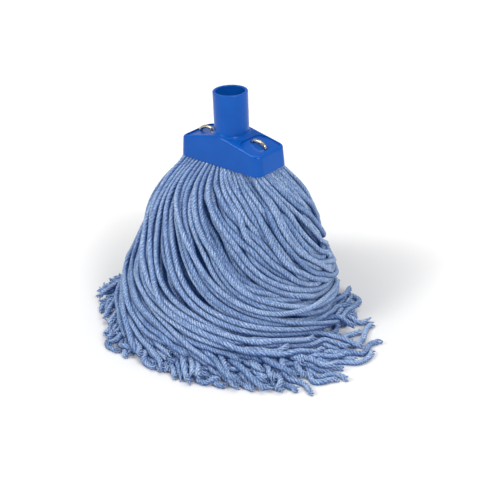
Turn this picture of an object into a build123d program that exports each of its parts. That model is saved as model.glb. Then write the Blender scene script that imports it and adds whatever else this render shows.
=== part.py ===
from build123d import *
import math
import os

# A string mop head. Millimetres, +Z up, origin on the floor under the handle tube's axis.
# X runs along the long side of the socket, Y across it. The head stands on its own yarn:
# the yarn leaves the socket's open underside, falls as a mound and splays out on the floor.

# ---- the socket, one moulding ----
handle_bore = 25.4        # takes a one-inch handle
handle_depth = 50.0       # from the rim down to the stop
tube_wall = 2.5
tube_height = 62.7        # rim above the base's lower edge
stop_thickness = 2.5      # closes the tube's lower end
base_length = 91.5
base_width = 40.7
base_corner = 8.0         # plan radius of the base's corners
base_wall = 2.4
base_draft = 4.5          # degrees that the sides lean in towards the top
end_height = 17.2         # height of the base's two short ends
roof_slope = 0.22         # rise of the roof per millimetre towards the tube
ridge_round = 24.0        # rounds the roof's peak beside the tube
roof_round = 2.8          # fillet where the roof meets the sides
tube_root_round = 3.0     # fillet where the tube meets the roof
rim_round = 0.7
web_thickness = 1.8       # webs that tie the tube to the base's long walls

# ---- the recessed pad at each end of the roof ----
pad_depth = 1.2
pad_lip = 2.6             # roof left standing round the pad
pad_tube_gap = 3.2        # between the tube and the pad
pad_inner_round = 9.0     # the pad's two corners beside the tube
pad_outer_round = 3.5

# ---- the clips, one through each pad ----
wire = 3.0                # diameter
clip_span = 14.2          # between the centres of a clip's two legs
clip_offset = 30.0        # middle of the clip from the tube's axis
clip_shoulder = 0.7       # the legs stand this far above the roof
clip_peak = 3.6           # where the two sides of the arch would meet
clip_length = 14.0        # lower run's centreline below the roof
clip_bends = [3.2, 3.0, 12.0, 3.0, 3.2]   # lower corner, shoulder, crown, shoulder, lower corner
hole_clearance = 0.4      # round the wire in the pad's holes

# ---- the yarn ----
drape_height = 142.0      # base's lower edge above the floor
yarn_clearance = 0.5      # between the folded yarn and the plastic or the wire
core_top = 9.0            # radius of the middle bundle under the base
core_foot = 40.0
inner_lock_count = 12
inner_top = 15.0          # outer radius of the inner ring under the base
inner_foot = 76.0
outer_lock_count = 24
mouth_margin = 1.0        # between the outer locks and the base's lower edge
tip_thickness = 12.0      # of the ends that lie out on the floor, past the hanging curtain
tip_taper = [0.8, 0.5]    # share of it that is left halfway along them, and at their end
lock_gap = 0.4            # degrees between neighbouring locks
layer_gap = 0.5           # between one ring and the next

# How a layer hangs: the share of its spread that it has reached, and of the height it has fallen.
hang_shape = [(0, 0), (0.38, 0.20), (0.60, 0.40), (0.76, 0.60), (0.89, 0.80), (1, 1)]

# Where the hanging part of each outer lock ends, and how far its ends reach, anticlockwise from +X.
outer_foot = [
    104, 96, 93, 92, 91, 92, 94, 96, 98, 100, 101, 102,
    103, 105, 107, 109, 111, 114, 117, 120, 121, 119, 115, 109,
]
outer_reach = [
    136, 124, 108, 101, 99, 104, 109, 112, 114, 115, 116, 116,
    118, 128, 137, 134, 136, 146, 139, 146, 153, 162, 165, 156,
]

on_surface = 0.05         # how near a point is that lies on the tube
tiny = 1e-9               # keeps a division finite

tube_radius = handle_bore / 2 + tube_wall
rim_z = drape_height + tube_height
stop_z = rim_z - handle_depth
tube_bottom_z = stop_z - stop_thickness
peak_height = end_height + roof_slope * base_length / 2
top_setback = end_height * math.tan(math.radians(base_draft))
above_all = 2 * peak_height


def gable(drop):
    """The space under the roof, lowered by drop, with its ridge rounded."""
    eaves = drape_height + end_height - roof_slope * base_length / 2 - drop
    with BuildPart() as space:
        with BuildSketch(Plane.XZ.offset(-base_width)):
            with BuildLine():
                Polyline(
                    (-base_length, drape_height - base_width),
                    (base_length, drape_height - base_width),
                    (base_length, eaves),
                    (0, drape_height + peak_height - drop),
                    (-base_length, eaves),
                    close=True,
                )
            make_face()
        extrude(amount=2 * base_width)
        ridge = space.edges().filter_by(Axis.Y).sort_by(Axis.Z)[-1]
        fillet(ridge, ridge_round)
    return space.part


def drafted_block(inset):
    """The base's block with leaning sides, inset all round."""
    with BuildPart() as block:
        with BuildSketch(Plane.XY.offset(drape_height)):
            RectangleRounded(base_length - 2 * inset, base_width - 2 * inset, base_corner - inset)
        extrude(amount=above_all, taper=base_draft)
    return block.part


def upright(radius, low, high):
    """A cylinder on the tube's axis from one height to another."""
    return Pos(0, 0, (low + high) / 2) * Cylinder(radius, high - low)


def at_clip(side):
    """The place of a clip: on the roof, X down the slope and Z square to the roof."""
    height = drape_height + end_height + roof_slope * (base_length / 2 - clip_offset)
    tilt = math.degrees(math.atan(roof_slope))
    return Pos(side * clip_offset, 0, height) * Rot(0, side * tilt, 0)


def clip(side, radius):
    """One clip: a closed loop of wire with an arch that stands above the roof."""
    half = clip_span / 2
    with BuildPart() as loop:
        with BuildLine(Plane.XZ) as path:
            FilletPolyline(
                (half, -clip_length),
                (half, clip_shoulder),
                (0, clip_peak),
                (-half, clip_shoulder),
                (-half, -clip_length),
                radius=clip_bends,
                close=True,
            )
        with BuildSketch(Plane(origin=path.wire() @ 0, z_dir=path.wire() % 0)):
            Circle(radius)
        sweep(path=path.wire())
    return at_clip(side) * loop.part


def clip_holes(side):
    """The two holes of one clip, through the roof and square to it."""
    hole = Cylinder(wire / 2 + hole_clearance, 4 * base_wall)
    legs = [Pos(leg * clip_span / 2, 0, 0) * hole for leg in (-1, 1)]
    return at_clip(side) * (legs[0] + legs[1])


def pad_pocket(side):
    """The shallow pocket in the roof at one end, open upwards."""
    near = tube_radius + pad_tube_gap
    far = base_length / 2 - top_setback - pad_lip
    width = base_width - 2 * (top_setback + pad_lip)
    with BuildPart() as pocket:
        with BuildSketch(Plane.XY.offset(drape_height)):
            with Locations((side * (near + far) / 2, 0)):
                Rectangle(far - near, width)
        extrude(amount=above_all)
        uprights = pocket.edges().filter_by(Axis.Z).sort_by(lambda edge: abs(edge.center().X))
        fillet(uprights[:2], pad_inner_round)
        fillet(uprights[2:], pad_outer_round)
    return pocket.part - gable(pad_depth)


def webs(hollow):
    """Two webs in the hollow, from the tube to the long walls."""
    height = above_all - (tube_bottom_z - drape_height)
    wall = Pos(0, 0, tube_bottom_z + height / 2) * Box(web_thickness, base_width, height)
    return (wall & hollow) - upright(tube_radius, drape_height, rim_z)


def runs_round_tube(edge):
    """Whether an edge lies where the tube leaves the roof."""
    ends = (edge @ 0, edge @ 1)
    on_tube = all(abs(math.hypot(end.X, end.Y) - tube_radius) < on_surface for end in ends)
    return on_tube and edge.geom_type != GeomType.LINE and edge.center().Z < rim_z - tube_wall


def roof_edge(edge):
    """Whether an edge lies where the roof meets a side of the base."""
    middle = edge.center()
    across_ridge = abs(middle.Y) < 1 and abs(middle.X) < ridge_round / 2
    return middle.Z > drape_height + end_height - roof_round and not across_ridge


def socket_shell():
    """Handle tube, hollow base, pads and webs as one moulding."""
    block = drafted_block(0) & gable(0)
    block = fillet(block.edges().filter_by(roof_edge), roof_round)
    shell = block + upright(tube_radius, tube_bottom_z, rim_z)
    shell = fillet(shell.edges().filter_by(runs_round_tube), tube_root_round)
    hollow = drafted_block(base_wall) & gable(base_wall)
    shell -= hollow - upright(tube_radius, tube_bottom_z, rim_z)
    shell += webs(hollow)
    for side in (-1, 1):
        shell -= pad_pocket(side)
        shell -= clip_holes(side)
    shell -= upright(handle_bore / 2, stop_z, rim_z + tube_wall)
    rim = shell.edges().filter_by(GeomType.CIRCLE).group_by(Axis.Z)[-1]
    return fillet(rim, rim_round)


def yarn_fold(side):
    """The folded middles of one half of the yarn, packed round the clip inside the base."""
    inset = base_wall + yarn_clearance
    fold = drafted_block(inset) & gable(inset)
    half = Pos(side * (base_length / 2 + yarn_clearance), 0, drape_height)
    fold &= half * Box(base_length, base_width, 2 * above_all)
    low = tube_bottom_z - yarn_clearance
    beside_tube = Box(2 * (tube_radius + yarn_clearance), base_width, above_all)
    fold -= Pos(0, 0, low + above_all / 2) * beside_tube
    return fold - clip(side, wire / 2 + yarn_clearance)


def hanging_curve(top, foot, foot_z=0.0):
    """Outside of a hanging layer: out to a shoulder under the base, then down to its foot."""
    drop = drape_height - foot_z
    return [(top + (foot - top) * out, drape_height - drop * down) for out, down in hang_shape]


def ring_sector(inside, outside, start, angle):
    """The yarn between two curves, both listed from the base down, turned about the axis."""
    with BuildPart() as sector:
        with BuildSketch(Plane.XZ):
            with BuildLine():
                Spline(*inside)
                Spline(*outside)
                Line(inside[0], outside[0])
                Line(inside[-1], (outside[-1][0], 0))
                if outside[-1][1] > 0:
                    Line((outside[-1][0], 0), outside[-1])
            make_face()
        revolve(axis=Axis.Z, revolution_arc=angle)
    return Rot(0, 0, start) * sector.part


def yarn_core():
    """The ends in the middle of the mound."""
    with BuildPart() as core:
        with BuildSketch(Plane.XZ):
            with BuildLine():
                Spline(*hanging_curve(core_top, core_foot))
                Polyline((core_foot, 0), (0, 0), (0, drape_height), (core_top, drape_height))
            make_face()
        revolve(axis=Axis.Z)
    return core.part


def inner_lock(number):
    """One lock of the inner ring."""
    inside = hanging_curve(core_top + layer_gap, core_foot + layer_gap)
    outside = hanging_curve(inner_top, inner_foot)
    angle = 360 / inner_lock_count
    return ring_sector(inside, outside, number * angle + lock_gap / 2, angle - lock_gap)


def mouth_radius(start, angle):
    """How far from the axis a sector may reach and stay under the base."""
    edges = [math.radians(start), math.radians(start + angle)]
    along = min(base_length / 2 / max(abs(math.cos(turn)), tiny) for turn in edges)
    across = min(base_width / 2 / max(abs(math.sin(turn)), tiny) for turn in edges)
    return min(along, across) - mouth_margin


def outer_lock(number):
    """One lock of the outer ring: it hangs as a curtain and its ends lie out on the floor."""
    angle = 360 / outer_lock_count
    start = number * angle
    inside = hanging_curve(inner_top + layer_gap, inner_foot + layer_gap)
    foot, reach = outer_foot[number], outer_reach[number]
    outside = hanging_curve(mouth_radius(start, angle), foot, tip_thickness)
    outside.append(((foot + reach) / 2, tip_taper[0] * tip_thickness))
    outside.append((reach, tip_taper[1] * tip_thickness))
    return ring_sector(inside, outside, start + lock_gap / 2, angle - lock_gap)


def assembly():
    """Every piece by its node's name."""
    pieces = {"socket_shell": socket_shell()}
    for name, side in (("left", -1), ("right", 1)):
        pieces[f"clip_{name}"] = clip(side, wire / 2)
        pieces[f"yarn_fold_{name}"] = yarn_fold(side)
    pieces["yarn_core"] = yarn_core()
    for number in range(inner_lock_count):
        pieces[f"yarn_inner_{number + 1:02d}"] = inner_lock(number)
    for number in range(outer_lock_count):
        pieces[f"yarn_outer_{number + 1:02d}"] = outer_lock(number)
    return pieces


os.makedirs("parts", exist_ok=True)
for node, piece in assembly().items():
    export_step(piece, f"parts/{node}.step")
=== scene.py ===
import math

import bpy
import numpy as np
from mathutils import Matrix, Vector


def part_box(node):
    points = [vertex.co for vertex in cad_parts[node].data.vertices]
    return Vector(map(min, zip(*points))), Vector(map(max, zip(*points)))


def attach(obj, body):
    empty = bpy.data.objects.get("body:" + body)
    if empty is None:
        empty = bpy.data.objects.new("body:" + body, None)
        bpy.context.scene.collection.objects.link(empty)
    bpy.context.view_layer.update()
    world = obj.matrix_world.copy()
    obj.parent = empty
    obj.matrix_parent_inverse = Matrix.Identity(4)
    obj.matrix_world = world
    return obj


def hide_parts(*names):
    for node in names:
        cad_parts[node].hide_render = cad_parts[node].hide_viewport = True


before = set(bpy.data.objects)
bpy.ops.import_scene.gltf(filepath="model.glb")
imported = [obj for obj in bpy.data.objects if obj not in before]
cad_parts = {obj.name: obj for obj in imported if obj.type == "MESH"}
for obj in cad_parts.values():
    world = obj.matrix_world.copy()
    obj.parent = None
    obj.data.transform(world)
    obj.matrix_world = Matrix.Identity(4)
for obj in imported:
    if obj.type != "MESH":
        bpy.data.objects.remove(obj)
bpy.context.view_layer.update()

rng = np.random.default_rng(7)

# ---- places, from the frame ----
shell_low, shell_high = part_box("socket_shell")
clip_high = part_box("clip_right")[1]
clip_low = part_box("clip_right")[0]
floor_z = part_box("yarn_core")[0].z
edge_z = shell_low.z                         # the socket base's lower edge
half_length = shell_high.x
half_width = shell_high.y
drape = edge_z - floor_z
mop_middle = 0.10                            # height that the lights look at

# ---- the yarn, in metres ----
yarn_width = 0.0054
gripped_width = 0.0038                       # where the base squeezes it
free_after = 0.040                           # from the base to where it has its full width
wall_gap = 0.0044                            # from the base's outer face to the outermost yarn's middle
ring_step = 0.0037                           # from one ring of yarn in the mouth to the next
yarn_steps = [0.0037, 0.0035, 0.0034, 0.0027, 0.0024]   # from one yarn to the next along each ring
curtain_rings = 3                            # the outer rings, which hang as the curtain
held_depth = 0.006                           # how far each yarn is followed up into the base
held_lean = 0.96                             # and how far it leans inwards there
free_length = 0.300
length_spread = 0.010
beads = 68                                   # points along each yarn in the simulation
held_beads = 2                               # the first ones, which the base holds
cord_count = 40                              # the strands that go furthest, each a piece of its own
outer_lock_count = 24
outer_lock_rings = 2                         # the rings of yarn that are in the outer locks
inner_lock_count = 12
inner_lock_rings = 4                         # and those down to here, in the inner ones

# ---- how the yarn hangs: the curtain turns round the mop more and more on its way down ----
foot_azimuth = np.radians([-180, -138, -100, -48, -10, 20, 42, 80, 120, 180])
foot_radius = np.array([0.097, 0.100, 0.109, 0.119, 0.108, 0.093, 0.089, 0.088, 0.094, 0.100])
foot_step = 0.0045                           # from one ring's foot to the next, inwards
core_depth = {3: 0.015, 4: 0.030}            # how far inside the curtain's foot the other rings' are
hang_down = [0, 0.2, 0.4, 0.6, 0.8, 1.0]     # share of the drape height
hang_out = [0, 0.40, 0.61, 0.77, 0.89, 1.0]  # share of the way out to the foot, on the slack side
full_out = [0, 0.50, 0.65, 0.84, 0.94, 1.0]  # and on the full side, opposite
slack_azimuth = math.radians(42)
heading_down = [0.0, 0.35, 0.50, 0.62, 0.72, 0.85, 1.0]
heading_turn = np.radians([24, 29, 40, 60, 74, 78, 74])
splay = 0.026                                # how far the longest ends stand out from the foot
reach_azimuth = np.radians([-180, -162, -155, -145, -138, -115, -103, -94, -82, -74, -67,
                            -45, -36, -26, -18, -8, 0, 8, 20, 30, 40, 60, 75, 90, 120, 180])
reach_radius = np.array([0.112, 0.112, 0.124, 0.136, 0.131, 0.129, 0.140, 0.132, 0.126, 0.135, 0.140,
                         0.149, 0.159, 0.164, 0.160, 0.158, 0.149, 0.135, 0.122, 0.108, 0.100,
                         0.090, 0.094, 0.104, 0.110, 0.112])
reach_most = 1.03                            # share of that reach which the longest ends have
reach_less = 0.16                            # and how much less the shortest have
inside_reach = 0.97                          # the hanging part stays within this share of it
fan = 0.60                                   # the ends turn outwards once the way left needs this share
creep = 0.1                                  # share of their course that is outward until then
outward_gain = 1.05                          # reaches out a little early
outward_least = -0.2                         # an end that is too far out comes back at most this fast
outward_most = 0.97
turned_by = 0.3                              # share of the drape by which a yarn is on its own way round
splay_after = 0.66                           # share of the drape where the splay begins
splay_over = 0.34                            # and the share over which it grows
splay_less = 0.2                             # less of it for each ring further in
least_radius = 0.03                          # keeps the turn finite near the middle
route_step = 0.002
slope_step = 0.02                            # share of the drape over which the slope is taken

# ---- how uneven it is ----
sway_size = 0.030                            # slow sideways sway, in radians round the mop
sway_pitch = 0.07                            # length of yarn in one sway
sway_pitch_spread = 0.06
sway_full_at = 0.4                           # share of the drape
ripple_size = 0.011                          # faster ripple on it
ripple_rate = 3.4                            # times as fast as the sway
ripple_full_at = 0.2
bunches = [(0.020, 11, 0.5), (0.016, 17, 2.0), (0.012, 31, 0.0)]   # size, number round, phase
golden = 0.618                               # spreads the shares of neighbours evenly
foot_spread = 0.002
curtain_tilt = 0.02
tilt_spread = 0.06
curtain_land = 0.006                         # height at which the lowest of the curtain turns outwards
curtain_land_spread = 0.016
core_depth_spread = 0.008
core_land = 0.003
core_land_spread = 0.007
core_tilt_spread = 0.12
core_turn = 0.50                             # share of the curtain's turn that the yarn inside has
core_turn_spread = 0.35
core_turn_more = math.radians(8)
kink_width = 0.0060                          # kinks of the inner ends on the floor
kink_height = 0.0035
kink_pitch = 0.026
kink_pitch_spread = 0.020
kink_rise_pitch = 1.3                        # pitch up and down, as a share of the pitch sideways
kink_after = 0.03

# ---- the simulation ----
relax_steps = 240
hold = 0.10                                  # share of the way back to its guide, in each step
hold_less = 0.8                              # share of that hold which is gone at the end
fall = 0.0001                                # in each step
end_fall = 3                                 # times as much again at a yarn's end
stiffness = 0.12
pairs_every = 4                              # steps between searches for beads that are close
pairs_reach = 1.3                            # in yarn widths
push_sweeps = 2
length_sweeps = 3
crowd_power = 0.6                            # how much less a bead moves for each one that it touches
lowest_share = 0.47                          # of a yarn's width, from the floor to its middle
below_edge = 0.002
tiny = 1e-9                                  # keeps a division finite

# ---- the strand: four plies twisted together, cut and frayed at the end ----
ply_count = 4
ply_pitch = 0.0120                           # length of one full turn of the twist
line_detail = 3                              # points of the line for each bead
lobe_angles = np.radians([-21, 21, 45])      # corners of one ply's outline, and the groove beside it
lobe_radii = [0.92, 0.92, 0.64]              # shares of the strand's radius
lobe_heights = [1.0, 1.0, 0.0]               # 1 on a ply, 0 in the groove
fibre_step = 0.0004                          # how far the fibres' pattern moves on from ring to ring
pitch_spread = 0.15                          # share by which the pitch differs from yarn to yarn
twist_waves = [(0.7, 0.0041, 2), (0.9, 0.0093, 1)]      # the twist's unevenness: angle, length, phase
thick_wave = 0.05                            # and that of the thickness along a yarn
thick_length = 0.011
thick_spread = 0.07                          # and from yarn to yarn
fray_length = 0.007
fray_overlap = 0.75                          # share of it where the twisted body ends
fray_flare = 0.0008
fray_rings = 6
fray_corners = 6
fray_turn = 1.6                              # how the loose plies go on turning, in half turns a pitch
ply_out = 0.25                               # a loose ply's middle from the yarn's, in yarn widths
ply_width = 0.44                             # its width, in yarn widths
ply_taper = 0.45
ply_lowest = 0.0009                          # above the floor

# ---- how exposed each point is, which sets the yarn's painted shade and painted lift ----
bare_below = 0.008                           # up to this height, out of the mop is up
bare_over = 0.05                             # and from there it turns sideways over this height
sideways_most = 0.75
facing_from = 0.25                           # a point that faces in by more than this is fully covered
facing_over = 0.85

# ---- the folded yarn on a clip, inside the base ----
fold_columns = 5                             # yarns side by side along the clip
fold_layers = 4                              # and inside one another
fold_margin = 0.001
fold_points = 9
fold_top = 0.0165                            # above the base's edge, at the end near the tube
fold_layer_step = 0.0030
fold_slope = 0.14                            # the folds get lower towards the end, as the roof does
fold_low = 0.0012                            # their ends above the yarn that hangs
fold_round = 0.8                             # below 1 the fold is squarer than a half circle


def smooth(x):
    x = np.clip(x, 0, 1)
    return x * x * (3 - 2 * x)


# ---- camera ----
def add_camera():
    """The photograph's viewpoint."""
    data = bpy.data.cameras.new("camera")
    data.lens = 76.84
    data.sensor_width = 36
    data.clip_start = 0.01
    camera = bpy.data.objects.new("camera", data)
    right = Vector((0.7591, 0.6499, -0.0367))
    up = Vector((-0.2782, 0.3749, 0.8844))
    back = right.cross(up)
    turn = Matrix((right, up, back)).transposed().to_4x4()
    camera.matrix_world = Matrix.Translation((0.5524, -0.6159, edge_z + 0.3542)) @ turn
    bpy.context.collection.objects.link(camera)
    bpy.context.scene.camera = camera


# ---- node materials ----
def new_material(name):
    """A material with its node tree and its Principled shader."""
    material = bpy.data.materials.new(name)
    material.use_nodes = True
    return material, material.node_tree, material.node_tree.nodes["Principled BSDF"]


def add_node(tree, kind, **values):
    """A node of that kind, with the named inputs or properties set."""
    node = tree.nodes.new(kind)
    for name, value in values.items():
        if name in node.inputs:
            node.inputs[name].default_value = value
        else:
            setattr(node, name, value)
    return node


def noise_of(tree, scale, detail=3, roughness=0.55):
    """Noise of that many cells a metre, fixed to the object."""
    place = add_node(tree, "ShaderNodeTexCoord")
    noise = add_node(tree, "ShaderNodeTexNoise", Scale=scale, Detail=detail, Roughness=roughness)
    tree.links.new(place.outputs["Object"], noise.inputs["Vector"])
    return noise.outputs["Fac"]


def ramp_of(tree, value, low, high, dark, pale):
    """A colour from dark to pale as the value goes from low to high."""
    ramp = add_node(tree, "ShaderNodeValToRGB")
    tree.links.new(value, ramp.inputs["Fac"])
    first, last = ramp.color_ramp.elements
    first.position = low
    first.color = (*dark, 1)
    last.position = high
    last.color = (*pale, 1)
    return ramp.outputs["Color"]


def product_of(tree, first, second):
    """Two colours multiplied."""
    mix = add_node(tree, "ShaderNodeMix", data_type="RGBA", blend_type="MULTIPLY")
    mix.inputs[0].default_value = 1.0
    tree.links.new(first, mix.inputs[6])
    tree.links.new(second, mix.inputs[7])
    return mix.outputs[2]


def attribute_of(tree, name):
    """A value that the mesh holds for each of its points."""
    return add_node(tree, "ShaderNodeAttribute", attribute_name=name).outputs["Fac"]


def add_bump(tree, shader, height, strength, distance):
    bump = add_node(tree, "ShaderNodeBump", Strength=strength, Distance=distance)
    tree.links.new(height, bump.inputs["Height"])
    tree.links.new(bump.outputs["Normal"], shader.inputs["Normal"])


def range_of(tree, value, low, high, start=0.0, end=1.0):
    """The value, from start to end, mapped to low to high."""
    span = add_node(tree, "ShaderNodeMapRange")
    tree.links.new(value, span.inputs["Value"])
    for name, limit in (("From Min", start), ("From Max", end), ("To Min", low), ("To Max", high)):
        span.inputs[name].default_value = limit
    return span.outputs["Result"]


def socket_plastic():
    """Glossy moulded polypropylene, saturated blue, with the faint ripple of a moulding."""
    material, tree, shader = new_material("socket_plastic")
    cloud = noise_of(tree, 60)
    colour = ramp_of(tree, cloud, 0.35, 0.65, (0.003, 0.084, 0.40), (0.004, 0.092, 0.43))
    tree.links.new(colour, shader.inputs["Base Color"])
    tree.links.new(range_of(tree, noise_of(tree, 220), 0.16, 0.22), shader.inputs["Roughness"])
    shader.inputs["Specular IOR Level"].default_value = 0.14
    add_bump(tree, shader, noise_of(tree, 260, 2), 0.05, 0.0002)
    return material


def clip_metal():
    """Bright plated wire, warm in its reflections, a little dulled in patches."""
    material, tree, shader = new_material("clip_metal")
    patches = noise_of(tree, 400, 4)
    colour = ramp_of(tree, patches, 0.40, 0.62, (0.50, 0.40, 0.26), (0.86, 0.82, 0.72))
    tree.links.new(colour, shader.inputs["Base Color"])
    tree.links.new(range_of(tree, patches, 0.16, 0.34), shader.inputs["Roughness"])
    shader.inputs["Metallic"].default_value = 1.0
    add_bump(tree, shader, noise_of(tree, 1500, 2), 0.15, 0.0001)
    return material


def yarn_cotton():
    """Dyed cotton yarn, matt and fibrous, with painted shade in its grooves and where yarn covers it,
    and a painted lift where it faces out.
    """
    material, tree, shader = new_material("yarn_cotton")
    ply = attribute_of(tree, "ply_height")
    strand = attribute_of(tree, "strand_shade")
    exposed = attribute_of(tree, "exposed")
    place = add_node(tree, "ShaderNodeAttribute", attribute_name="fibre_place")
    noise = add_node(tree, "ShaderNodeTexNoise", Scale=1500, Detail=3, Roughness=0.6)
    tree.links.new(place.outputs["Vector"], noise.inputs["Vector"])
    fibres = noise.outputs["Fac"]
    fluff = noise_of(tree, 760, 3, 0.65)
    blotches = noise_of(tree, 70, 3)
    dyed = ramp_of(tree, strand, 0.0, 1.0, (0.190, 0.285, 0.490), (0.305, 0.405, 0.605))
    streaks = ramp_of(tree, fibres, 0.36, 0.66, (0.58, 0.69, 0.84), (1.42, 1.33, 1.18))
    flecks = ramp_of(tree, fluff, 0.40, 0.62, (0.58, 0.70, 0.85), (1.54, 1.43, 1.24))
    clouds = ramp_of(tree, blotches, 0.35, 0.68, (0.90, 0.91, 0.93), (1.06, 1.05, 1.04))
    # painted shade: the grooves between the plies are darker and bluer
    painted_groove_shade = ramp_of(tree, ply, 0.0, 0.8, (0.24, 0.37, 0.60), (1.04, 1.03, 1.02))
    # painted shade on yarn that faces into the mop, and painted light (a lift above 1) where it faces
    # out
    painted_cover_shade = ramp_of(tree, exposed, 0.0, 0.9, (0.17, 0.30, 0.54), (1.14, 1.12, 1.08))
    colour = dyed
    for shading in (streaks, flecks, clouds, painted_groove_shade, painted_cover_shade):
        colour = product_of(tree, colour, shading)
    tree.links.new(colour, shader.inputs["Base Color"])
    tree.links.new(range_of(tree, fibres, 0.95, 0.80), shader.inputs["Roughness"])
    shader.inputs["Specular IOR Level"].default_value = 0.15
    shader.inputs["Sheen Weight"].default_value = 0.25
    shader.inputs["Sheen Roughness"].default_value = 0.5
    shader.inputs["Sheen Tint"].default_value = (0.75, 0.85, 1.0, 1)
    # A weak blue painted glow that lifts the yarn's shadows; it stands in for the light that scatters
    # inside the fibres.
    shader.inputs["Emission Color"].default_value = (0.06, 0.22, 0.75, 1)
    shader.inputs["Emission Strength"].default_value = 0.045
    add_bump(tree, shader, fibres, 0.7, 0.0006)
    return material


def floor_paint():
    """White studio floor with a painted glow that grows from the mop outwards, so that the floor beyond
    the lights' pool stays white.
    """
    material, tree, shader = new_material("floor_paint")
    colour = ramp_of(tree, noise_of(tree, 3), 0.3, 0.7, (0.79, 0.79, 0.79), (0.81, 0.81, 0.81))
    tree.links.new(colour, shader.inputs["Base Color"])
    shader.inputs["Roughness"].default_value = 0.9
    shader.inputs["Specular IOR Level"].default_value = 0.0
    shader.inputs["Emission Color"].default_value = (1, 1, 1, 1)
    place = add_node(tree, "ShaderNodeTexCoord")
    away = add_node(tree, "ShaderNodeVectorMath", operation="LENGTH")
    tree.links.new(place.outputs["Object"], away.inputs[0])
    # painted glow: the emission grows with distance from the mop
    painted_glow = range_of(tree, away.outputs["Value"], 0.0, 0.26, 0.12, 0.25)
    tree.links.new(painted_glow, shader.inputs["Emission Strength"])
    return material


# ---- stage ----
def add_floor():
    """A wide square at the height that the yarn lies on."""
    half = 4.0
    signs = [(-1, -1), (1, -1), (1, 1), (-1, 1)]
    corners = [(across * half, along * half, floor_z) for across, along in signs]
    mesh = bpy.data.meshes.new("floor")
    mesh.from_pydata(corners, [], [(0, 1, 2, 3)])
    mesh.materials.append(floor_paint())
    plane = bpy.data.objects.new("floor", mesh)
    bpy.context.collection.objects.link(plane)


def add_light(name, place, power, size):
    """A square soft box that looks at the middle of the mop."""
    data = bpy.data.lights.new(name, "AREA")
    data.energy = power
    data.size = size
    light = bpy.data.objects.new(name, data)
    light.location = place
    aim = Vector((0, 0, mop_middle)) - Vector(place)
    light.rotation_euler = aim.to_track_quat("-Z", "Y").to_euler()
    bpy.context.collection.objects.link(light)


def add_lighting():
    """A white tent with its front open, and soft boxes in front on the left, above and on the right."""
    world = bpy.data.worlds.new("tent")
    world.use_nodes = True
    tree = world.node_tree
    background = tree.nodes["Background"]
    background.inputs["Color"].default_value = (1, 1, 1, 1)
    sky = add_node(tree, "ShaderNodeTexCoord")
    front = add_node(tree, "ShaderNodeVectorMath", operation="DOT_PRODUCT")
    front.inputs[1].default_value = (0.66, -0.74, 0.1)      # towards the open front
    tree.links.new(sky.outputs["Generated"], front.inputs[0])
    strength = range_of(tree, front.outputs["Value"], 0.5, 0.08, 0.0, 0.8)
    tree.links.new(strength, background.inputs["Strength"])
    bpy.context.scene.world = world
    add_light("key", (-1.5, -3.0, 3.1), 95, 1.3)
    add_light("top", (0.0, 0.4, 3.8), 34, 1.8)
    add_light("side", (3.0, -1.0, 2.2), 80, 1.3)
    bpy.context.scene.view_settings.view_transform = "Standard"


# ---- where each yarn goes ----
def mouth():
    """Where each yarn leaves the base: its place, its ring, and its way round the mop."""
    ends = []
    for ring, yarn_step in enumerate(yarn_steps):
        a = half_length - wall_gap - ring * ring_step
        b = half_width - wall_gap - ring * ring_step
        around = 4 * (a + b)
        count = round(around / yarn_step)
        for k in range(count):
            share = (k + 0.5 * (ring % 2)) / count
            d = share * around
            if d < b:
                x, y = a, d
            elif d < b + 2 * a:
                x, y = a - (d - b), b
            elif d < 3 * b + 2 * a:
                x, y = -a, b - (d - b - 2 * a)
            elif d < 3 * b + 4 * a:
                x, y = -a + (d - 3 * b - 2 * a), -b
            else:
                x, y = a, -b + (d - 3 * b - 4 * a)
            ends.append((x, y, ring, 2 * math.pi * share))
    return ends


def angle_between(a, b):
    return (b - a + math.pi) % (2 * math.pi) - math.pi


def out_at(azimuth, t):
    """The share of the way out to the foot, at the share t of the way down."""
    full = 0.5 - 0.5 * math.cos(azimuth - slack_azimuth)
    return (1 - full) * np.interp(t, hang_down, hang_out) + full * np.interp(t, hang_down, full_out)


def foot_at(azimuth):
    """The curtain's radius where it meets the floor on that side."""
    return np.interp(angle_between(0, azimuth), foot_azimuth, foot_radius)


def reach_at(azimuth):
    """How far from the middle the ends lie on that side."""
    return np.interp(angle_between(0, azimuth), reach_azimuth, reach_radius)


def random_sway():
    """One yarn's sway sideways, from the distance along it and the share of the way down."""
    size = sway_size * rng.normal()
    start = 2 * math.pi * rng.random()
    rate = 2 * math.pi / (sway_pitch + sway_pitch_spread * rng.random())
    ripple = ripple_size * rng.normal()

    def sway(gone, t):
        slow = size * math.sin(start + rate * gone) * smooth(t / sway_full_at)
        fast = ripple * math.sin(5 * start + ripple_rate * rate * gone) * smooth(t / ripple_full_at)
        return slow + fast
    return sway


def floor_heading(azimuth, r, left, tip):
    """An end's heading on the floor: along, until the way left is just enough to reach out."""
    reach = reach_at(azimuth) * (reach_most - reach_less * tip * tip)
    outward = (reach - r) / max(left, 3 * route_step)
    if 0 < outward < fan:
        outward = creep
    return math.acos(min(outward_most, max(outward_least, outward * outward_gain)))


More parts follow.
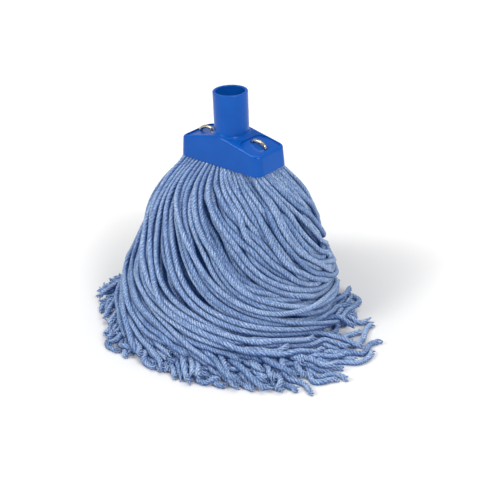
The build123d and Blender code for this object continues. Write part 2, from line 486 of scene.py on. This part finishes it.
def hang(x, y, foot_of, length, way, headings, tilt, out, land):
    """A yarn's path: down the mound to the height land, then round and out along the floor."""
    start = math.atan2(y, x)
    turn = angle_between(start, way)
    at_mouth = math.hypot(x, y)
    sway = random_sway()
    z = edge_z
    r = at_mouth
    swirl = 0.0
    tip = None
    path = []
    for gone in np.arange(0, length, route_step):
        t = (edge_z - z) / drape
        azimuth = start + turn * smooth(t / turned_by) + swirl
        foot = foot_of(azimuth)
        if z > floor_z + land:
            rise = out_at(azimuth, t + slope_step) - out_at(azimuth, t - slope_step)
            slope = (foot - at_mouth) * rise / (2 * slope_step) / drape
            heading = np.interp(t, heading_down, headings) + tilt
            z -= route_step * math.cos(heading) / math.sqrt(1 + slope * slope)
            r = at_mouth + (foot - at_mouth) * out_at(azimuth, t)
            r += out * smooth((t - splay_after) / splay_over)
            r = min(r, max(foot, inside_reach * reach_at(azimuth)))
        else:
            if tip is None:
                tip = rng.random()
            heading = floor_heading(azimuth, r, length - gone, tip)
            r += route_step * math.cos(heading)
        swirl += route_step * math.sin(heading) / max(r, least_radius)
        swayed = azimuth + sway(gone, t)
        path.append((r * math.cos(swayed), r * math.sin(swayed), z))
    return np.array(path)


def random_length():
    return free_length + length_spread * (2 * rng.random() - 1)


def curtain_route(x, y, ring, way, number):
    """One yarn of the curtain, a little bunched with its neighbours."""
    bunch = sum(size * math.sin(count * way + phase) for size, count, phase in bunches)
    share = (number * golden) % 1
    inset = foot_step * ring + foot_spread * rng.normal()
    tilt = curtain_tilt + tilt_spread * rng.normal()
    out = splay * share ** 1.5 * (1 - splay_less * ring)
    land = curtain_land + curtain_land_spread * (1 - share)
    length = random_length()
    path = hang(x, y, lambda azimuth: foot_at(azimuth) - inset, length, way + bunch,
                heading_turn, tilt, out, land)
    return path, length


def add_kinks(path, on_floor):
    """Bends the part of a path that is on the floor from side to side, and up and down."""
    along = np.cumsum(np.where(on_floor, route_step, 0))
    pitch = kink_pitch + kink_pitch_spread * rng.random()
    phase = 2 * math.pi * rng.random()
    course = np.gradient(path, axis=0) / route_step
    sideways = np.stack([-course[:, 1], course[:, 0]], 1)
    kink = kink_width * smooth(along / kink_after) * np.sin(phase + 2 * math.pi * along / pitch)
    wave = 1 + np.sin(2 * phase + 2 * math.pi * along / (kink_rise_pitch * pitch))
    path[:, :2] += sideways * kink[:, None]
    path[:, 2] += kink_height * smooth(along / kink_after) * wave


def core_route(x, y, ring, way):
    """One yarn from under the curtain: down inside it, then out along the floor in kinks."""
    length = random_length()
    depth = core_depth[ring] + core_depth_spread * rng.random()
    land = core_land + core_land_spread * rng.random()
    gentle = heading_turn * (core_turn + core_turn_spread * rng.random()) + core_turn_more
    path = hang(x, y, lambda azimuth: foot_at(azimuth) - depth, length, way, gentle,
                core_tilt_spread * rng.normal(), 0, land)
    add_kinks(path, path[:, 2] < floor_z + land + 0.5 * route_step)
    return path, length


def evenly(path, count, length):
    """The path again as that many evenly spaced points, and the span that gives it its length."""
    steps = np.linalg.norm(np.diff(path, axis=0), axis=1)
    along = np.concatenate([[0], np.cumsum(steps)])
    want = np.linspace(0, along[-1], count)
    points = np.stack([np.interp(want, along, path[:, k]) for k in range(3)], 1)
    return points, (length + held_depth) / (count - 1)


def yarn_routes():
    """Every yarn's guide points, span, ring and way round."""
    guides, spans, rings, ways = [], [], [], []
    for number, (x, y, ring, way) in enumerate(mouth()):
        if ring < curtain_rings:
            path, length = curtain_route(x, y, ring, way, number)
        else:
            path, length = core_route(x, y, ring, way)
        inside = np.array([[x * held_lean, y * held_lean, edge_z + held_depth]])
        points, span = evenly(np.vstack([inside, path]), beads, length)
        guides.append(points)
        spans.append(span)
        rings.append(ring)
        ways.append(way)
    return np.array(guides), np.array(spans), np.array(rings), np.array(ways)


# ---- the simulation: yarns rest on each other and on the floor ----
def close_pairs(points, reach, skip):
    """Pairs of beads nearer than reach, other than neighbours on one yarn."""
    cell = np.floor((points - points.min(0)) / reach).astype(np.int64) + 1
    size = cell.max(0) + 2
    key = (cell[:, 0] * size[1] + cell[:, 1]) * size[2] + cell[:, 2]
    order = np.argsort(key, kind="stable")
    sorted_key = key[order]
    count = len(points)
    first, second = [], []
    for dx in (-1, 0, 1):
        for dy in (-1, 0, 1):
            for dz in (-1, 0, 1):
                offset = (dx * size[1] + dy) * size[2] + dz
                if offset < 0:
                    continue
                low = np.searchsorted(sorted_key, sorted_key + offset, "left")
                high = np.searchsorted(sorted_key, sorted_key + offset, "right")
                if offset == 0:
                    low = np.arange(count) + 1
                many = np.maximum(high - low, 0)
                a = np.repeat(np.arange(count), many)
                within = np.arange(len(a)) - np.repeat(np.cumsum(many) - many, many)
                first.append(order[a])
                second.append(order[np.repeat(low, many) + within])
    a, b = np.concatenate(first), np.concatenate(second)
    gap = points[a] - points[b]
    neighbours = (a // beads == b // beads) & (np.abs(a - b) <= skip)
    keep = ((gap * gap).sum(1) < reach * reach) & ~neighbours
    return a[keep], b[keep]


def width_at(along):
    """The yarn's width, that far from the base."""
    return gripped_width + (yarn_width - gripped_width) * smooth(along / free_after)


def push_apart(points, a, b, rest):
    """How beads a and b move each other so that they are rest apart."""
    gap = points[a] - points[b]
    distance = np.sqrt((gap * gap).sum(1)) + tiny
    push = np.maximum(rest - distance, 0) * 0.5 / distance
    touch = push > 0
    a, b = a[touch], b[touch]
    move = gap[touch] * push[touch][:, None]
    count = len(points)
    total = [np.bincount(a, move[:, k], count) - np.bincount(b, move[:, k], count) for k in range(3)]
    hits = np.bincount(a, minlength=count) + np.bincount(b, minlength=count)
    return np.stack(total, 1) / np.maximum(hits, 1)[:, None] ** crowd_power


def keep_lengths(beads_at, span):
    """Every other span of each yarn, then the rest, goes back to its length."""
    for odd in (0, 1):
        count = (beads_at.shape[1] - odd) // 2
        low = beads_at[:, odd:odd + 2 * count:2]
        high = beads_at[:, odd + 1:odd + 1 + 2 * count:2]
        apart = high - low
        distance = np.sqrt((apart * apart).sum(2, keepdims=True)) + tiny
        mend = apart * (0.5 * (distance - span) / distance)
        low += mend
        high -= mend


def relax(guides, spans):
    """Lets the yarns settle from their guides, until they lie on each other and on the floor."""
    at = guides.copy()
    width = np.tile(width_at(np.linspace(0, free_length, beads)), len(at))
    span = spans[:, None, None]
    lowest = floor_z + lowest_share * yarn_width
    drop = fall * (1 + end_fall * np.linspace(0, 1, beads - held_beads) ** 4)
    for step in range(relax_steps):
        grip = hold * (1 - hold_less * step / relax_steps)
        at[:, held_beads:] += grip * (guides[:, held_beads:] - at[:, held_beads:])
        at[:, held_beads:, 2] -= drop
        straighter = 0.5 * (at[:, :-2] + at[:, 2:]) - at[:, 1:-1]
        at[:, held_beads:-1] += stiffness * straighter[:, held_beads - 1:]
        if step % pairs_every == 0:
            a, b = close_pairs(at.reshape(-1, 3), yarn_width * pairs_reach, 2)
            rest = 0.5 * (width[a] + width[b])
        for sweep in range(push_sweeps):
            move = push_apart(at.reshape(-1, 3), a, b, rest).reshape(at.shape)
            move[:, :held_beads] = 0
            at += move
            at[:, held_beads:, 2] = np.clip(at[:, held_beads:, 2], lowest, edge_z - below_edge)
            for again in range(length_sweeps):
                keep_lengths(at, span)
            at[:, :held_beads] = guides[:, :held_beads]
    return at


def smooth_lines(routes):
    """Each route's smooth line, read from a NURBS spline with the route's points."""
    data = bpy.data.curves.new("lines", "CURVE")
    data.dimensions = "3D"
    data.resolution_u = line_detail
    for route in routes:
        spline = data.splines.new("NURBS")
        spline.points.add(len(route) - 1)
        spline.points.foreach_set("co", np.column_stack([route, np.ones(len(route))]).ravel())
        spline.order_u = 3
        spline.use_endpoint_u = True
    curve = bpy.data.objects.new("lines", data)
    mesh = bpy.data.meshes.new_from_object(curve)
    points = np.empty(len(mesh.vertices) * 3)
    mesh.vertices.foreach_get("co", points)
    bpy.data.meshes.remove(mesh)
    bpy.data.objects.remove(curve)
    bpy.data.curves.remove(data)
    return points.reshape(len(routes), -1, 3)


# ---- strand meshes ----
def frames_along(lines):
    """Directions along and across each line, which turn as little as they can."""
    ahead = np.gradient(lines, axis=1)
    ahead /= np.linalg.norm(ahead, axis=2, keepdims=True)
    across = np.empty_like(ahead)
    side = np.cross(ahead[:, 0], [0.31, 0.95, 0.11])
    for k in range(lines.shape[1]):
        side = side - (side * ahead[:, k]).sum(1, keepdims=True) * ahead[:, k]
        side /= np.linalg.norm(side, axis=1, keepdims=True)
        across[:, k] = side
    return ahead, across, np.cross(ahead, across)


def distance_along(lines):
    steps = np.linalg.norm(np.diff(lines, axis=1), axis=2)
    return np.concatenate([np.zeros((len(lines), 1)), np.cumsum(steps, axis=1)], axis=1)


def tube_faces(rings, corners):
    """Quads of a tube's wall, and its two end faces."""
    ring, corner = np.meshgrid(np.arange(rings - 1), np.arange(corners), indexing="ij")
    beside = (corner + 1) % corners
    quads = np.stack([ring * corners + corner, ring * corners + beside,
                      (ring + 1) * corners + beside, (ring + 1) * corners + corner], 2).reshape(-1, 4)
    ends = [list(range(corners))[::-1], list(range((rings - 1) * corners, rings * corners))]
    return quads.tolist() + ends


def strand_angles():
    """The corners' angles round a strand."""
    return np.concatenate([lobe_angles + 2 * math.pi * ply / ply_count for ply in range(ply_count)])


def strand_bodies(lines, hanging, phases):
    """Corner points of each strand's twisted body, up to where it frays, and how many rings it has."""
    ahead, across, over = frames_along(lines)
    along = distance_along(lines)
    body = along < along[:, -1:] - fray_overlap * fray_length
    keep = int(body.sum(1).min())
    along = along[:, :keep]
    phase = phases[:, None]
    twist = 2 * math.pi * along / (ply_pitch * (1 + pitch_spread * np.sin(5 * phases)))[:, None]
    twist += sum(angle * np.sin(along / length + times * phase) for angle, length, times in twist_waves)
    turn = strand_angles() + (phase + twist)[..., None]
    thick = 1 + thick_wave * np.sin(along / thick_length + 3 * phase)
    thick *= 1 + thick_spread * np.sin(7 * phase)
    width = np.where(hanging, width_at(along), yarn_width) * thick
    radius = 0.5 * width[..., None] * np.tile(lobe_radii, ply_count)
    points = (lines[:, :keep, None] + (radius * np.cos(turn))[..., None] * across[:, :keep, None]
              + (radius * np.sin(turn))[..., None] * over[:, :keep, None])
    return points, keep


def loose_ply(line, along, frames, begin, angle, length, flare):
    """One ply of a cut end, which spreads and tapers: the corner points of its rings."""
    ahead, across, over = frames
    tube = []
    for k in range(fray_rings):
        u = k / (fray_rings - 1)
        d = min(begin + u * length, along[-1])
        beyond = begin + u * length - d
        middle = np.array([np.interp(d, along, line[:, i]) for i in range(3)]) + beyond * ahead[-1]
        j = min(int(np.searchsorted(along, d)), len(line) - 1)
        turned = angle + fray_turn * math.pi * u * length / ply_pitch
        out = math.cos(turned) * across[j] + math.sin(turned) * over[j]
        middle = middle + out * (ply_out * yarn_width + flare * u * u)
        middle[2] = max(middle[2], floor_z + ply_lowest)
        radius = 0.5 * yarn_width * ply_width * (1 - ply_taper * u ** 3)
        turns = 2 * math.pi * np.arange(fray_corners) / fray_corners
        corners = np.cos(turns)[:, None] * across[j] + np.sin(turns)[:, None] * over[j]
        tube.append(middle + radius * corners)
    return np.array(tube)


def frayed_ends(line, phase, keep):
    """The plies of a strand's cut end, as a list of tubes."""
    frames = [v[0] for v in frames_along(line[None])]
    along = distance_along(line[None])[0]
    begin = along[keep - 2]
    tubes = []
    for ply in range(ply_count):
        angle = phase + 2 * math.pi * (ply / ply_count + begin / ply_pitch)
        length = (along[-1] - begin) * (0.85 + 0.35 * rng.random())
        flare = fray_flare * (0.3 + 1.2 * rng.random())
        tubes.append(loose_ply(line, along, frames, begin, angle, length, flare))
    return tubes


def exposure(points, middles):
    """From 0, facing into the mop, to 1, facing out of it, for each point of a tube."""
    out = points - middles
    out /= np.linalg.norm(out, axis=1, keepdims=True) + tiny
    flat = np.linalg.norm(middles[:, :2], axis=1, keepdims=True) + tiny
    sideways = sideways_most * smooth((middles[:, 2:] - floor_z - bare_below) / bare_over)
    away = np.concatenate([sideways * middles[:, :2] / flat, 1 - sideways], axis=1)
    away /= np.linalg.norm(away, axis=1, keepdims=True)
    return smooth(((out * away).sum(1) + facing_from) / facing_over)


def set_attribute(mesh, name, values):
    """Gives each point of the mesh its value."""
    attribute = mesh.attributes.new(name, "FLOAT", "POINT")
    attribute.data.foreach_set("value", np.concatenate(values))


def add_piece(name, parts, material):
    """One mesh object of several tubes, each given as strand_parts makes it."""
    points, faced, faces, heights, places, shades = [], [], [], [], [], []
    first = 0
    for part_points, part_middles, part_faces, part_heights, part_places, shade in parts:
        points.append(part_points)
        faced.append(exposure(part_points, part_middles))
        faces += [[first + i for i in face] for face in part_faces]
        heights.append(part_heights)
        places.append(part_places)
        shades.append(np.full(len(part_points), shade))
        first += len(part_points)
    mesh = bpy.data.meshes.new(name)
    mesh.from_pydata(np.concatenate(points), [], faces)
    set_attribute(mesh, "ply_height", heights)
    set_attribute(mesh, "strand_shade", shades)
    set_attribute(mesh, "exposed", faced)
    fibre_place = mesh.attributes.new("fibre_place", "FLOAT_VECTOR", "POINT")
    fibre_place.data.foreach_set("vector", np.concatenate(places).ravel())
    mesh.polygons.foreach_set("use_smooth", np.ones(len(mesh.polygons), dtype=bool))
    mesh.materials.append(material)
    piece = bpy.data.objects.new(name, mesh)
    bpy.context.collection.objects.link(piece)
    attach(piece, "root")
    return piece


def fibre_places(keep):
    """Where each corner is on the yarn if it is untwisted, and shortened so that fibres are long."""
    angles = strand_angles()
    along = np.repeat(np.arange(keep) * fibre_step, len(angles))
    round_it = np.tile(0.5 * yarn_width * np.stack([np.cos(angles), np.sin(angles)], 1), (keep, 1))
    return np.column_stack([round_it, along])


def strand_parts(lines, shades, hanging=True):
    """The tubes of every strand: its body and, where it hangs, the plies of its frayed end.

    Each tube is its points, their middles, faces, ply heights, fibre places and shade.
    """
    phases = 2 * math.pi * rng.random(len(lines))
    bodies, keep = strand_bodies(lines, hanging, phases)
    wall_places = fibre_places(keep)
    corners = ply_count * len(lobe_angles)
    wall = tube_faces(keep, corners)
    wall_heights = np.tile(lobe_heights, keep * ply_count)
    tip_faces = tube_faces(fray_rings, fray_corners)
    tip_heights = np.full(fray_rings * fray_corners, 0.8)
    tip_places = wall_places[:fray_rings * fray_corners]
    strands = []
    for line, body, phase, shade in zip(lines, bodies, phases, shades):
        middles = np.repeat(line[:keep], corners, axis=0)
        parts = [(body.reshape(-1, 3), middles, wall, wall_heights, wall_places + shade, shade)]
        if hanging:
            parts += [(tube.reshape(-1, 3), np.repeat(tube.mean(1), fray_corners, axis=0),
                       tip_faces, tip_heights, tip_places + shade, shade)
                      for tube in frayed_ends(line, phase, keep)]
        strands.append(parts)
    return strands


def lock_of(ring, way):
    """The CAD solid that this yarn is part of."""
    if ring < outer_lock_rings:
        return f"yarn_outer_{1 + int(way / (2 * math.pi) * outer_lock_count):02d}"
    if ring < inner_lock_rings:
        return f"yarn_inner_{1 + int(way / (2 * math.pi) * inner_lock_count):02d}"
    return "yarn_core"


def add_yarn(material):
    """The hanging yarn: the strands that go furthest each as a piece of its own, and the others by lock.
    """
    guides, spans, rings, ways = yarn_routes()
    routes = relax(guides, spans)
    lines = smooth_lines(routes)
    shades = rng.random(len(lines))
    strands = strand_parts(lines, shades)
    reach = np.linalg.norm(lines[:, -1, :2], axis=1)
    furthest = set(np.argsort(-reach, kind="stable")[:cord_count].tolist())
    locks = {}
    for number, parts in enumerate(strands):
        lock = lock_of(rings[number], ways[number])
        if number in furthest:
            piece = add_piece(f"strand_{number:03d}", parts, material)
            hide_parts(lock)
        else:
            locks.setdefault(lock, []).extend(parts)
    for lock, parts in sorted(locks.items()):
        piece = add_piece(lock.replace("yarn", "strands"), parts, material)
        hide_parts(lock)


def fold_route(x, layer):
    """The middle of one yarn: up on one side of the clip's lower run, over it, and down again."""
    across = half_width - wall_gap - ring_step * layer - fold_margin
    top = edge_z + fold_top - fold_layer_step * layer - fold_slope * (abs(x) - clip_low.x)
    low = edge_z + held_depth + fold_low
    turns = np.linspace(0, math.pi, fold_points)
    return np.stack([np.full(fold_points, x), across * np.cos(turns),
                     low + (top - low) * np.sin(turns) ** fold_round], 1)


def add_folds(material):
    """The middles of the yarns, laid over each clip's lower run inside the base."""
    columns = np.linspace(clip_low.x + 2 * fold_margin, clip_high.x - fold_margin, fold_columns)
    for side, name in ((-1, "left"), (1, "right")):
        routes = [fold_route(side * x, layer) for x in columns for layer in range(fold_layers)]
        lines = smooth_lines(routes)
        strands = strand_parts(lines, rng.random(len(lines)), hanging=False)
        parts = [part for strand in strands for part in strand]
        piece = add_piece(f"folded_yarn_{name}", parts, material)
        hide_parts(f"yarn_fold_{name}")


def dress(node, material):
    """Gives a CAD node that material."""
    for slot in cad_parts[node].material_slots:
        slot.material = material


add_camera()
add_floor()
add_lighting()
dress("socket_shell", socket_plastic())
metal = clip_metal()
dress("clip_left", metal)
dress("clip_right", metal)
cotton = yarn_cotton()
add_yarn(cotton)
add_folds(cotton)
